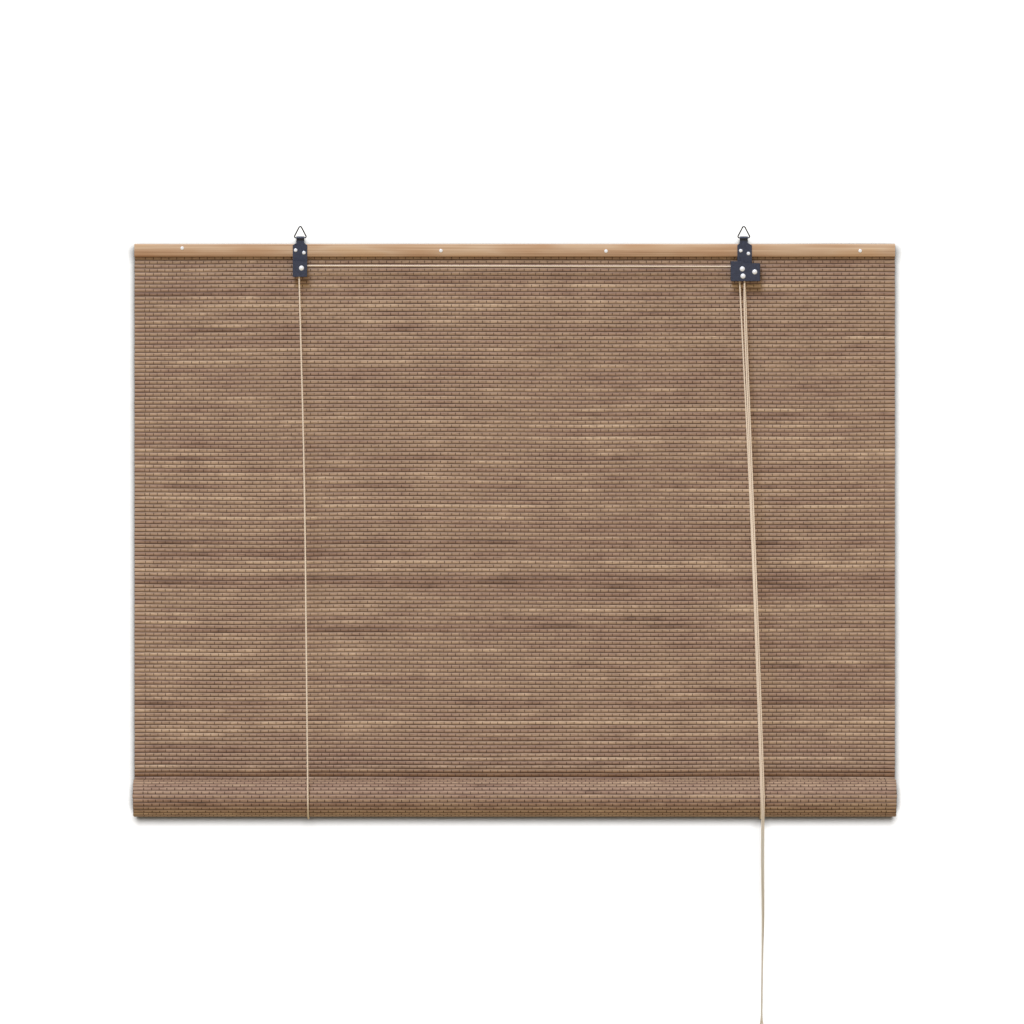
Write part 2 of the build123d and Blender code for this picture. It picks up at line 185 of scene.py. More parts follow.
def closeTree(tree, geometry, given, result):  # the material, then the tree's output
    values = {"Geometry": geometry, "Material": given["Finish"]}
    finished = addNode(tree, "GeometryNodeSetMaterial", None, values)
    tree.links.new(finished.outputs[0], result.inputs[0])


# objects

def newLine(name, points, kind="NURBS", resolution=12):  # a bare curve through or along points
    curve = bpy.data.curves.new(name, "CURVE")
    curve.dimensions = "3D"
    curve.resolution_u = resolution
    spline = curve.splines.new(kind)
    spline.points.add(len(points) - 1)
    for point, place in zip(spline.points, points):
        point.co = (*place, 1.0)
    if kind == "NURBS":
        spline.order_u = 3
        spline.use_endpoint_u = True
    line = bpy.data.objects.new(name, curve)
    scene.collection.objects.link(line)
    return line


def growPiece(name, line, tree, values):  # runs a tree along a line and keeps the result as a plain mesh
    modifier = line.modifiers.new(tree.name, "NODES")
    modifier.node_group = tree
    for item in tree.interface.items_tree:
        if item.in_out == "INPUT" and item.name in values:
            modifier[item.identifier] = values[item.name]
    line.update_tag()
    bpy.context.view_layer.update()
    mesh = bpy.data.meshes.new_from_object(line.evaluated_get(bpy.context.evaluated_depsgraph_get()))
    line.modifiers.remove(modifier)
    mesh.name = name
    piece = bpy.data.objects.new(name, mesh)
    scene.collection.objects.link(piece)
    print(name, "has", sum(len(p.vertices) - 2 for p in mesh.polygons), "triangles")
    return piece


# camera, straight on through a long lens

cameraFacts = {
    "distance": 9.0,  # from the wall
    "aim": (-0.0036, -0.3742),  # x and z at the middle of the picture
    "viewWidth": 1.3465,  # across the mat
}

lens = bpy.data.cameras.new("studioCamera")
lens.sensor_width = 36.0
lens.lens = lens.sensor_width * (cameraFacts["distance"] + matLow.y) / cameraFacts["viewWidth"]
lens.dof.use_dof = False
lens.clip_end = 60.0
camera = bpy.data.objects.new("studioCamera", lens)
camera.location = (cameraFacts["aim"][0], -cameraFacts["distance"], cameraFacts["aim"][1])
camera.rotation_euler = (math.pi / 2, 0.0, 0.0)
scene.collection.objects.link(camera)
scene.camera = camera
print("camera set")


# materials

# split bamboo, stained: matt fibres along each splint, every splint its own brown, painted shade dark in the seams and
# in a band just above the roll
splintLook = {
    "streak": 0.08, "fibre": 0.009,  # their lengths
    "fibreLanes": 9.0,  # across a splint, 0.6 mm each
    "seedSpread": 97.0, "slowLayer": 5.0,  # keep one splint's noise apart from another's
    "seedShare": 0.2, "slowShare": 0.9, "toneSpan": (0.697, 1.327),
    "seamMiddle": 0.46, "seamShadeSpan": (0.27, 0.5),  # across a splint, where the painted seam shade lies
    "shadeAboveRollHeights": (-0.708, -0.728),  # painted shade on the mat just above the roll
}
splintBamboo, tree, shader = newSurface("stainedSplitBamboo", roughness=0.6)
splintAlong, splintAcross, _ = splitXyz(tree, uvPlace(tree))
splintSeed = addNode(tree, "ShaderNodeAttribute", {"attribute_name": "splintSeed"}).outputs["Fac"]
seedShift = addMath(tree, "MULTIPLY", splintSeed, splintLook["seedSpread"])
alongStreak = addMath(tree, "MULTIPLY", splintAlong, 1 / splintLook["streak"])
streakNoise = addNoise(tree, addXyz(tree, alongStreak, seedShift), detail=3.0, roughness=0.6)["Fac"]
slowPlace = addXyz(tree, splintAlong, seedShift, splintLook["slowLayer"])
slowNoise = addNoise(tree, slowPlace, detail=1.0)["Fac"]  # 1 m
toneSlow = addMath(tree, "MULTIPLY_ADD", slowNoise, splintLook["slowShare"], streakNoise)
toneSum = addMath(tree, "MULTIPLY_ADD", splintSeed, splintLook["seedShare"], toneSlow)
toneColour = addRamp(tree, addRange(tree, toneSum, splintLook["toneSpan"]), [
    (0.0, "88674e"), (0.2, "9f7c62"), (0.42, "ae8c71"), (0.62, "b19173"), (0.8, "bd9c7d"), (1.0, "cfaf8d")])
alongFibre = addMath(tree, "MULTIPLY", splintAlong, 1 / splintLook["fibre"])
acrossFibre = addMath(tree, "MULTIPLY", splintAcross, splintLook["fibreLanes"])
fibreNoise = addNoise(tree, addXyz(tree, alongFibre, acrossFibre, seedShift), detail=4.0)["Fac"]
fibreTone = addRamp(tree, fibreNoise, [(0.3, "b9ada4"), (0.62, "ffffff")])
splintColour = addStainAndShade(tree, 0.8, toneColour, fibreTone)
# painted shade: each splint darkens towards its seams
offMiddle = addMath(tree, "ABSOLUTE", addMath(tree, "SUBTRACT", splintAcross, splintLook["seamMiddle"]))
seamShadeMask = addRange(tree, offMiddle, splintLook["seamShadeSpan"], interpolation="SMOOTHSTEP")
seamShadeDepth = addRange(tree, streakNoise, (0.62, 0.34), (0.62, 1.0))  # painted seam shade, uneven along the seam
seamShadedColour = addStainAndShade(tree, addMath(tree, "MULTIPLY", seamShadeMask, seamShadeDepth), splintColour, hexColour("573a20"))
# painted shade: the mat darkened in a band just above the roll
shadeAboveRollMask = addRange(tree, splitXyz(tree, objectPlace(tree))[2], splintLook["shadeAboveRollHeights"])
shadeAboveRollTone = addRamp(tree, shadeAboveRollMask, [
    (0.1, "ffffff"), (0.42, "e0d2bf"), (0.62, "cbb698"), (0.7, "cbb698"), (0.74, "ffffff")])
tree.links.new(addStainAndShade(tree, 1.0, seamShadedColour, shadeAboveRollTone), shader.inputs["Base Color"])
tree.links.new(addRange(tree, fibreNoise, toSpan=(0.52, 0.72)), shader.inputs["Roughness"])
addBump(tree, shader, fibreNoise, 0.35, 0.0002)

# planed bamboo lath under thin varnish: fine straight grain, soft patches, darker towards the foot of the batten
lathLook = {
    "grainScale": (5.0, 260.0, 620.0),  # 1.6 mm grain
    "patchScale": (9.0, 20.0, 40.0),  # 110 mm patches
    "footDarkHeights": (-0.022, -0.039),  # top and foot of the front batten
}
lathBamboo, tree, shader = newSurface("varnishedBambooLath", roughness=0.42)
lathPlace = objectPlace(tree)
grainPlace = addNode(tree, "ShaderNodeMapping", None, {"Vector": lathPlace, "Scale": lathLook["grainScale"]})
grainNoise = addNoise(tree, grainPlace.outputs[0], detail=4.0, roughness=0.55)["Fac"]
grainTone = addRamp(tree, grainNoise, [(0.25, "b99572"), (0.45, "d6b493"), (0.6, "e1c2a0"), (0.78, "f0d7b8")])
patchPlace = addNode(tree, "ShaderNodeMapping", None, {"Vector": lathPlace, "Scale": lathLook["patchScale"]})
patchNoise = addNoise(tree, patchPlace.outputs[0])["Fac"]
patchTone = addRamp(tree, patchNoise, [(0.3, "e2c8ae"), (0.55, "ffffff"), (0.75, "ffefd2")])
footDarkShare = addRange(tree, splitXyz(tree, lathPlace)[2], lathLook["footDarkHeights"])
footDarkTone = addRamp(tree, footDarkShare, [(0.0, "ffffff"), (0.45, "f0ede8"), (1.0, "c4b49f")])  # darker towards the foot of the batten
lathColour = addStainAndShade(tree, 0.7, grainTone, patchTone)
tree.links.new(addStainAndShade(tree, 1.0, lathColour, footDarkTone), shader.inputs["Base Color"])
addBump(tree, shader, grainNoise, 0.25, 0.0002)

# twisted cotton cord, undyed: cream, soft, a dull sheen along the strands
cordLook = {
    "fibreScale": (1400.0, 9.0, 1.0),  # 0.7 mm fibres
    "lowerShadeHeights": (-0.75, -1.08),  # painted shade, from the foot of the roll to the hank
}
cordCotton, tree, shader = newSurface("twistedCottonCord", roughness=0.8)
shader.inputs["Sheen Weight"].default_value = 0.1
shader.inputs["Sheen Roughness"].default_value = 0.5
cordPlace = addNode(tree, "ShaderNodeMapping", None, {"Vector": uvPlace(tree), "Scale": cordLook["fibreScale"]})
cordNoise = addNoise(tree, cordPlace.outputs[0])["Fac"]
cordTone = addRamp(tree, cordNoise, [(0.3, "e3caaa"), (0.6, "f4dfc5"), (0.8, "faebd8")])
# painted shade on the pull strands below the roll
lowerCordShade = addRange(tree, splitXyz(tree, objectPlace(tree))[2], cordLook["lowerShadeHeights"])
lowerCordShadeTone = addRamp(tree, lowerCordShade, [
    (0.0, "ffffff"), (0.15, "e0e9ec"), (0.85, "e0e9ec"), (1.0, "f6f2ec")])  # painted shade: the pull strands below the roll greyed
tree.links.new(addStainAndShade(tree, 1.0, cordTone, lowerCordShadeTone), shader.inputs["Base Color"])
addBump(tree, shader, cordNoise, 0.4, 0.0001)

# dyed cotton warp thread: dark, dull, a little uneven
warpCotton, *_ = newSpeckled("dyedWarpCotton", 420.0, 2.0, "3a2418", "553724", roughness=0.85)  # 2 mm

# stove-enamelled sheet steel: blue-black, half gloss, slight orange peel
enamelSteel, tree, shader, enamelNoise = newSpeckled(
    "blackEnamelSteel", 700.0, 2.0, "272b3a", "393f53", roughness=0.4)  # 1.4 mm
addBump(tree, shader, enamelNoise, 0.15, 0.0001)

# zinc-plated nails and rivets: bright, lightly brushed by tumbling
zincSteel, tree, shader, zincNoise = newSpeckled(
    "zincPlatedSteel", 900.0, 3.0, "f3f3f4", "ffffff", metallic=0.2, roughness=0.35)  # 1 mm
tree.links.new(addRange(tree, zincNoise, toSpan=(0.26, 0.4)), shader.inputs["Roughness"])

# drawn steel wire: dark grey, dulled, finely scratched
ringWire, *_ = newSpeckled("drawnSteelWire", 800.0, 3.0, "3e3f42", "5b5c60", metallic=1.0, roughness=0.38)  # 1.2 mm

# moulded nylon rollers: milky, half matt
rollerNylon, *_ = newSpeckled("mouldedNylon", 500.0, 2.0, "d6d2c6", "e9e6dd", roughness=0.45, ior=1.53)  # 2 mm

# cast brass cam: yellow, slightly tarnished
camBrass, *_ = newSpeckled("castBrass", 450.0, 3.0, "8f6f38", "c8a45c", metallic=1.0, roughness=0.35)  # 2.2 mm

nodeFinishes = {
    "front_batten": lathBamboo, "rear_batten": lathBamboo, "bottom_rod": lathBamboo,
    "left_bracket": enamelSteel, "lock_bracket": enamelSteel,
    "batten_nails": zincSteel, "left_bracket_nails": zincSteel, "lock_bracket_nails": zincSteel,
    "left_axle": zincSteel, "guide_axle": zincSteel, "anvil_pin": zincSteel, "cam_pin": zincSteel,
    "left_ring": ringWire, "right_ring": ringWire,
    "left_roller": rollerNylon, "guide_roller": rollerNylon, "lock_cam": camBrass,
}
for nodeName, finish in nodeFinishes.items():
    cadNodes[nodeName].data.materials.clear()
    cadNodes[nodeName].data.materials.append(finish)
for nodeName in ("left_ring", "right_ring", "rear_batten"):
    cadNodes[nodeName].visible_shadow = False  # too thin, or too close to the wall, to shade it
print("materials made")


# cords: three strands twisted together, along each route

cordFacts = {
    "Radius": 0.00105,
    "Lobe": 0.13,  # how far the strands stand out, as a share of the radius
    "Strands": 3.0,
    "Twist": 0.0085,  # length of one turn
    "Step": 0.0011,
}

cordTree, given, result = newTree("twistedCord", [
    ("Radius", "Float"), ("Lobe", "Float"), ("Strands", "Float"), ("Twist", "Float"), ("Step", "Float"),
    ("Finish", "Material")])
even = addNode(cordTree, "GeometryNodeResampleCurve", {"mode": "LENGTH"},
               {"Curve": given["Geometry"], "Length": given["Step"]})
along = addNode(cordTree, "GeometryNodeSplineParameter").outputs["Length"]
angle = addMath(cordTree, "MULTIPLY", addMath(cordTree, "DIVIDE", along, given["Twist"]), math.tau)
tilted = addNode(cordTree, "GeometryNodeSetCurveTilt", None, {"Curve": even.outputs[0], "Tilt": angle})
heldAlong = holdValue(cordTree, tilted.outputs[0], "along", along)
ringLine = addNode(cordTree, "GeometryNodeCurvePrimitiveCircle", None, {"Resolution": 12, "Radius": 1.0})
around = addNode(cordTree, "GeometryNodeSplineParameter").outputs["Factor"]
lobeAngle = addMath(cordTree, "MULTIPLY", around, math.tau)
lobeWave = addMath(cordTree, "COSINE", addMath(cordTree, "MULTIPLY", lobeAngle, given["Strands"]))
lobeShare = addMath(cordTree, "MULTIPLY_ADD", lobeWave, given["Lobe"], 1.0)
lobeRadius = addMath(cordTree, "MULTIPLY", lobeShare, given["Radius"])
ringPlace = addNode(cordTree, "GeometryNodeInputPosition")
lobePlace = addNode(cordTree, "ShaderNodeVectorMath", {"operation": "SCALE"},
                    {0: ringPlace.outputs[0], "Scale": lobeRadius})
section = setPlace(cordTree, ringLine.outputs[0], Position=lobePlace.outputs[0])
heldAround = holdValue(cordTree, section, "around", around)
swept = addNode(cordTree, "GeometryNodeCurveToMesh", None,
                {"Curve": heldAlong[0], "Profile Curve": heldAround[0], "Fill Caps": True})
cordMap = addXyz(cordTree, heldAlong[1], heldAround[1])
mapped = storeValue(cordTree, swept.outputs[0], "UVMap", cordMap, "FLOAT2", "CORNER")
smooth = addNode(cordTree, "GeometryNodeSetShadeSmooth", None, {0: mapped})
closeTree(cordTree, realise(cordTree, smooth.outputs[0]), given, result)


def makeCord(name, points, standsFor):  # a cord along a route, in place of the nodes it hides
    line = newLine(name + "Route", points)
    bare = bpy.data.meshes.new_from_object(line)
    piece = growPiece(name, line, cordTree, {**cordFacts, "Finish": cordCotton})
    bpy.data.objects.remove(line)
    if standsFor:
        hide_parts(*standsFor)
    return piece


# the hank below the photo's edge: its tie and knot first, since the strands name them

hankFacts = {
    "middle": (hankLow + hankHigh) / 2,
    "halfRun": 0.015,
    "layers": (0.0106, 0.00845, 0.0063),  # half the width of the loops, outer layer first
    "bend": 0.414,  # where a bend starts, as a share of that width
    "straight": 0.006,  # points that keep the sides straight
    "planes": 5, "firstPlane": 0.00235, "planeStep": 0.00215,
    "tailAside": 0.00115, "tail": 0.0385,  # end of the tail below the middle
    "knot": (0.0265, 0.0345),  # top and foot of the knot below the middle
}
knotTop, knotFoot = hankFacts["knot"]
windings = {  # cord wound three times round an upright axis
    "hankTie": {"node": "hank_tie", "wide": 0.0127, "deep": 0.0131, "low": -0.0022, "high": 0.0022},
    "pullCordKnot": {"node": "pull_cord_knot", "wide": 0.0028, "deep": 0.0024,
                     "low": -knotFoot + 0.001, "high": -knotTop - 0.001},
}


def windRoute(winding, turns=3, stepsPerTurn=12):  # a helix round the middle of the hank
    x, y, z = hankFacts["middle"]
    count = turns * stepsPerTurn
    points = []
    for step in range(count + 1):
        angle = math.tau * turns * step / count
        height = winding["low"] + (winding["high"] - winding["low"]) * step / count
        points.append((x + winding["wide"] * math.cos(angle), y + winding["deep"] * math.sin(angle), z + height))
    return points


def hankTurns(side, towards):  # the loops of one strand: side is where it enters, towards is front or back
    x, y, z = hankFacts["middle"]
    bend, straight = hankFacts["bend"], hankFacts["straight"]
    points = []
    order = range(hankFacts["planes"])
    for layer, width in enumerate(hankFacts["layers"]):
        for plane in (order if layer % 2 == 0 else reversed(order)):
            offset = towards * (hankFacts["firstPlane"] + hankFacts["planeStep"] * plane)
            corner = hankFacts["halfRun"] + bend * width
            end = hankFacts["halfRun"] + width
            loop = [(1, corner), (1, straight), (1, -straight), (1, -corner), (bend, -end), (-bend, -end),
                    (-1, -corner), (-1, -straight), (-1, straight), (-1, corner), (-bend, end), (bend, end)]
            points += [(x + side * share * width, y + offset, z + height) for share, height in loop]
    tailX = x + side * hankFacts["tailAside"]
    points += [(tailX + side * 0.002, y + towards * 0.009, z + 0.012), (tailX, y + towards * 0.004, z - 0.004),
               (tailX, y, z - 0.02), (tailX, y, z - knotTop), (tailX, y, z - hankFacts["tail"])]
    return points


wound = {}
for name, winding in windings.items():
    wound[name] = makeCord(name, windRoute(winding), None)
    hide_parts(winding["node"])
    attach(wound[name], "pull_cord")

# the runs in the brackets

headRuns = {
    "leftCrossCord": ("left_cross_cord", [
        (-0.2832, -0.01635, -0.06535), (-0.2832, -0.01635, -0.0582), (-0.2832, -0.01635, -0.0507),
        (-0.2757, -0.01635, -0.05071), (0.2945, -0.01635, -0.05179), (0.3020, -0.01635, -0.0518),
        (0.3020, -0.01635, -0.0593), (0.3020, -0.01635, -0.07115)]),
    "rightLockCord": ("right_lock_cord", [
        (0.2956, -0.01405, -0.07115), (0.2956, -0.01405, -0.0593), (0.2956, -0.01405, -0.0518),
        (0.3020, -0.01405, -0.0518), (0.3020, -0.01405, -0.0593), (0.3020, -0.01405, -0.07115)]),
}
for name, (node, points) in headRuns.items():
    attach(makeCord(name, points, [node]), "head")

# the runs that shorten: those in front hang a little slack, so that they lie over the roll when it is up

softRuns = {  # name: node, where it starts, points from top to foot
    "leftFrontCord": ("left_front_cord", "left", [
        (-0.2832, -0.01635, -0.06535), (-0.2829, -0.0172, -0.078), (-0.2754, -0.0346, -0.33),
        (-0.2723, -0.0605, -0.57), (-0.2705, -0.05725, -0.74865)]),
    "rightFrontCord": ("right_front_cord", "right", [
        (0.2956, -0.01405, -0.07115), (0.2960, -0.0149, -0.084), (0.3077, -0.0346, -0.33),
        (0.3163, -0.0594, -0.57), (0.3223, -0.05725, -0.74865)]),
    "leftPullUpper": ("left_pull_upper", "right", [
        (0.3020, -0.01635, -0.07115), (0.3011, -0.0172, -0.084), (0.3022, -0.0213, -0.14),
        (0.3109, -0.0392, -0.38), (0.3177, -0.0610, -0.57), (0.3238, -0.05905, -0.74895)]),
    "rightPullUpper": ("right_pull_upper", "right", [
        (0.3020, -0.01405, -0.07115), (0.3031, -0.0149, -0.084), (0.3044, -0.0190, -0.14),
        (0.3132, -0.0388, -0.38), (0.3199, -0.0593, -0.57), (0.3260, -0.05745, -0.74895)]),
    "leftBackCord": ("left_back_cord", "mat", [
        (-0.2705, -0.00315, -0.0258), (-0.2705, -0.00315, -0.0384), (-0.2705, -0.00315, -0.74865)]),
    "rightBackCord": ("right_back_cord", "mat", [
        (0.3223, -0.00315, -0.0258), (0.3223, -0.00315, -0.0384), (0.3223, -0.00315, -0.74865)]),
}
for name, (node, start, points) in softRuns.items():
    run = makeCord(name, points, [node])
    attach(run, "head")
    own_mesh(run)

# the slings under the roll

slingFacts = {"reach": 0.02705, "rise": 0.00015, "steps": 8, "places": {"left": -0.2705, "right": 0.3223}}


def slingRoute(x):  # half a turn under the roll, from its front to its back
    middle = Vector((x, rollMiddle.y, rollMiddle.z))
    reach, rise, steps = slingFacts["reach"], slingFacts["rise"], slingFacts["steps"]
    wide = reach / math.cos(math.pi / steps / 2)
    points = [middle + Vector((0, -reach, rise))]
    for step in range(steps):
        angle = (step + 0.5) * math.pi / steps
        points.append(middle + Vector((0, -wide * math.cos(angle), -wide * math.sin(angle))))
    points.append(middle + Vector((0, reach, rise)))
    return points


for side, x in slingFacts["places"].items():
    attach(makeCord(side + "Sling", slingRoute(x), [side + "_sling"]), "carriage")

# the pull strands below the roll: side by side, then twisted lightly about each other, then wound in the hank

pullRoutes = {
    "left": [(0.3238, -0.05905, -0.7491), (0.3227, -0.0589, -0.7968), (0.3229, -0.05875, -0.8478),
             (0.3239, -0.05865, -0.8998), (0.3236, -0.05865, -0.9518), (0.3231, -0.0587, -1.0038),
             (0.3225, -0.0586, -1.0465)],
    "right": [(0.3260, -0.05745, -0.7491), (0.3250, -0.05745, -0.7968), (0.3251, -0.05745, -0.8478),
              (0.3255, -0.05695, -0.8998), (0.3238, -0.0564, -0.9518), (0.3230, -0.0563, -1.0038),
              (0.3228, -0.05625, -1.0465)],
}
for side, enter, towards in (("left", 1, -1), ("right", -1, 1)):
    route = pullRoutes[side]
    standsFor = [side + "_pull_lower"] + (["pull_cord_hank"] if side == "left" else [])
    strand = makeCord(side + "PullLower", route + hankTurns(enter, towards), standsFor)
    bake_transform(strand)
print("cords made")


# woven mat: splints in rows along a line, held by warp threads that pass over every other one

def addRows(tree, given):  # a point for each row along the line, and the turn that lays a row to the line
    points = addNode(tree, "GeometryNodeCurveToPoints", {"mode": "COUNT"},
                     {"Curve": given["Geometry"], "Count": given["Rows"]}).outputs
    heading = splitXyz(tree, points["Tangent"])
    lean = addMath(tree, "ARCTAN2", heading[1], addMath(tree, "MULTIPLY", heading[2], -1.0))
    turn = addNode(tree, "FunctionNodeEulerToRotation", None, {0: addXyz(tree, lean)})
    return points[0], turn.outputs[0]


def addSag(tree, amount):  # slow wander of the rows, the same for the splints and the threads on them
    place = addNode(tree, "GeometryNodeInputPosition")
    noise = addNoise(tree, place.outputs[0], 3.5, 1.0)["Fac"]
    return addXyz(tree, z=addMath(tree, "MULTIPLY", addMath(tree, "SUBTRACT", noise, 0.5), amount))


def addChance(tree, seed):  # a random share from 0 to 1
    return addNode(tree, "FunctionNodeRandomValue", None, {2: 0.0, 3: 1.0, "Seed": seed}).outputs[1]


def addUneven(tree, seed, amount):  # one, less a random part of the amount
    return addMath(tree, "SUBTRACT", 1.0, addMath(tree, "MULTIPLY", addChance(tree, seed), amount))


splintTree, given, result = newTree("splintRows", [
    ("Rows", "Int"), ("Length", "Float"), ("Height", "Float"), ("Thickness", "Float"), ("Segments", "Int"),
    ("Square", "Float"), ("Uneven Length", "Float"), ("Uneven Height", "Float"), ("Waver", "Vector"), ("Sag", "Float"),
    ("Seed", "Int"), ("Finish", "Material")])
rowPoints, rowTurn = addRows(splintTree, given)
stick = addNode(splintTree, "GeometryNodeMeshCylinder", None,
                {"Vertices": 8, "Side Segments": given["Segments"], "Radius": 1.0, "Depth": 1.0}).outputs
stickSmooth = addNode(splintTree, "GeometryNodeSetShadeSmooth", None, {0: stick["Mesh"], 1: stick["Side"]})
stickEnds = addNode(splintTree, "FunctionNodeBooleanMath", {"operation": "OR"}, {0: stick["Top"], 1: stick["Bottom"]})
stickSplit = addNode(splintTree, "GeometryNodeSplitEdges", None, {0: stickSmooth.outputs[0], 1: stickEnds.outputs[0]})
stickPlace = addNode(splintTree, "GeometryNodeInputPosition").outputs[0]
stickParts = splitXyz(splintTree, stickPlace)
squared = []
for axis in (0, 1):  # the round stick becomes a flat one with rounded edges
    bulged = addMath(splintTree, "POWER", addMath(splintTree, "ABSOLUTE", stickParts[axis]), given["Square"])
    squared.append(addMath(splintTree, "MULTIPLY", bulged, addMath(splintTree, "SIGN", stickParts[axis])))
flatPlace = addXyz(splintTree, squared[0], squared[1], stickParts[2])
flatStick = setPlace(splintTree, stickSplit.outputs[0], Position=flatPlace)
flatMap = addVectorMath(splintTree, "MULTIPLY_ADD", stickPlace, (0.5, 0.0, 0.0), (0.5, 0.0, 0.0))  # from 0 to 1 across
mapAlong = addMath(splintTree, "MULTIPLY", stickParts[2], given["Length"])
stickMap = addXyz(splintTree, mapAlong, splitXyz(splintTree, flatMap)[0])
mappedStick = storeValue(splintTree, flatStick, "UVMap", stickMap, "FLOAT2", "CORNER")
halfHeight = addMath(splintTree, "MULTIPLY", given["Height"], 0.5)
halfThick = addMath(splintTree, "MULTIPLY", given["Thickness"], 0.5)
stickSize = addXyz(splintTree, halfHeight, halfThick, given["Length"])
splint = addNode(splintTree, "GeometryNodeTransform", None,
                 {"Geometry": mappedStick, "Rotation": (0.0, math.pi / 2, 0.0), "Scale": stickSize})
lengthScale = addUneven(splintTree, given["Seed"], given["Uneven Length"])
heightScale = addUneven(splintTree, addMath(splintTree, "ADD", given["Seed"], 11.0), given["Uneven Height"])
splintScale = addXyz(splintTree, lengthScale, 1.0, heightScale)
rows = addNode(splintTree, "GeometryNodeInstanceOnPoints", None,
               {"Points": rowPoints, "Instance": splint.outputs[0], "Rotation": rowTurn, "Scale": splintScale})
tone = addChance(splintTree, addMath(splintTree, "ADD", given["Seed"], 23.0))
toned = storeValue(splintTree, rows.outputs[0], "splintSeed", tone, "FLOAT", "INSTANCE")
wavePlace = addNode(splintTree, "GeometryNodeInputPosition")
waveSeed = addNode(splintTree, "GeometryNodeInputNamedAttribute", {"data_type": "FLOAT"}, {"Name": "splintSeed"})
waveFar = addMath(splintTree, "MULTIPLY", waveSeed.outputs[0], 300.0)  # every splint has its own wave
wavePoint = addXyz(splintTree, splitXyz(splintTree, wavePlace.outputs[0])[0], waveFar)
wave = addNoise(splintTree, wavePoint, 9.0, 1.0)["Color"]
waveShift = addVectorMath(splintTree, "SUBTRACT", wave, (0.5, 0.5, 0.5))
waveMove = addVectorMath(splintTree, "MULTIPLY", waveShift, given["Waver"])
waveSag = addVectorMath(splintTree, "ADD", waveMove, addSag(splintTree, given["Sag"]))
closeTree(splintTree, setPlace(splintTree, realise(splintTree, toned), Offset=waveSag), given, result)

stitchTree, given, result = newTree("warpStitches", [
    ("Rows", "Int"), ("Columns", "Int"), ("Pitch", "Float"), ("Shift", "Float"), ("Even", "Int"), ("Width", "Float"),
    ("Height", "Float"), ("Rise", "Float"), ("Dive", "Float"), ("Side", "Float"), ("Along", "Int"), ("Across", "Int"),
    ("Wander", "Float"), ("Sag", "Float"), ("Finish", "Material")])
rowPoints, rowTurn = addRows(stitchTree, given)
patch = addNode(stitchTree, "GeometryNodeMeshGrid", None,
                {"Size X": given["Width"], "Size Y": given["Height"],
                 "Vertices X": given["Across"], "Vertices Y": given["Along"]}).outputs["Mesh"]
patchSpot = splitXyz(stitchTree, addNode(stitchTree, "GeometryNodeInputPosition").outputs[0])
upSize = addMath(stitchTree, "ABSOLUTE", addMath(stitchTree, "DIVIDE", patchSpot[1], given["Height"]))
upCurve = addMath(stitchTree, "POWER", addMath(stitchTree, "MULTIPLY", upSize, 2.0), 3.0)
fallAll = addMath(stitchTree, "SUBTRACT", given["Rise"], given["Dive"])
crown = addMath(stitchTree, "SUBTRACT", given["Rise"], addMath(stitchTree, "MULTIPLY", fallAll, upCurve))
sideShare = addMath(stitchTree, "ABSOLUTE", patchSpot[0])
rounded = addMath(stitchTree, "MULTIPLY_ADD", sideShare, -0.8, crown)  # lower at the thread's sides
outward = addMath(stitchTree, "MULTIPLY", rounded, given["Side"])
bent = setPlace(stitchTree, patch, Position=addXyz(stitchTree, patchSpot[0], outward, patchSpot[1]))
behind = addNode(stitchTree, "FunctionNodeCompare", {"data_type": "FLOAT", "operation": "GREATER_THAN"},
                 {0: given["Side"], 1: 0.0})
stitch = addNode(stitchTree, "GeometryNodeFlipFaces", None, {0: bent, 1: behind.outputs[0]})
gaps = addMath(stitchTree, "SUBTRACT", given["Columns"], 1.0)
halfSpan = addMath(stitchTree, "MULTIPLY", addMath(stitchTree, "MULTIPLY", gaps, given["Pitch"]), -0.5)
rowLine = addNode(stitchTree, "GeometryNodeMeshLine", {"mode": "OFFSET"},
                  {"Count": given["Columns"], "Start Location": addXyz(stitchTree, halfSpan),
                   "Offset": addXyz(stitchTree, given["Pitch"])})
rowOfStitches = addNode(stitchTree, "GeometryNodeInstanceOnPoints", None,
                        {"Points": rowLine.outputs[0], "Instance": stitch.outputs[0]})
rowMesh = realise(stitchTree, rowOfStitches.outputs[0])
rows = addNode(stitchTree, "GeometryNodeInstanceOnPoints", None,
               {"Points": rowPoints, "Instance": rowMesh, "Rotation": rowTurn})
rowNumber = addNode(stitchTree, "GeometryNodeInputIndex").outputs[0]
parity = addMath(stitchTree, "MODULO", addMath(stitchTree, "ADD", rowNumber, given["Even"]), 2.0)
aside = addMath(stitchTree, "MULTIPLY", addMath(stitchTree, "SUBTRACT", parity, 0.5), given["Shift"])
shifted = addNode(stitchTree, "GeometryNodeTranslateInstances", None,
                  {"Instances": rows.outputs[0], "Translation": addXyz(stitchTree, aside)})
driftPlace = addNode(stitchTree, "GeometryNodeInputPosition")
drift = addMath(stitchTree, "SUBTRACT", addNoise(stitchTree, driftPlace.outputs[0], 14.0)["Fac"], 0.5)
driftMove = addXyz(stitchTree, addMath(stitchTree, "MULTIPLY", drift, given["Wander"]))
driftSag = addVectorMath(stitchTree, "ADD", driftMove, addSag(stitchTree, given["Sag"]))
drifted = setPlace(stitchTree, realise(stitchTree, shifted.outputs[0]), Offset=driftSag)
smooth = addNode(stitchTree, "GeometryNodeSetShadeSmooth", None, {0: drifted})
closeTree(stitchTree, smooth.outputs[0], given, result)

matFacts = {
    "rowPitch": 0.00525,  # aimed at, then fitted to whole rows
    "splintLap": 1.05, "stitchLap": 1.04,  # heights as shares of a row
    "sag": 0.0035,
}
rowCount = round((matHigh.z - matLow.z) / matFacts["rowPitch"])
rowHeight = (matHigh.z - matLow.z) / rowCount
matMiddle = (matLow.y + matHigh.y) / 2

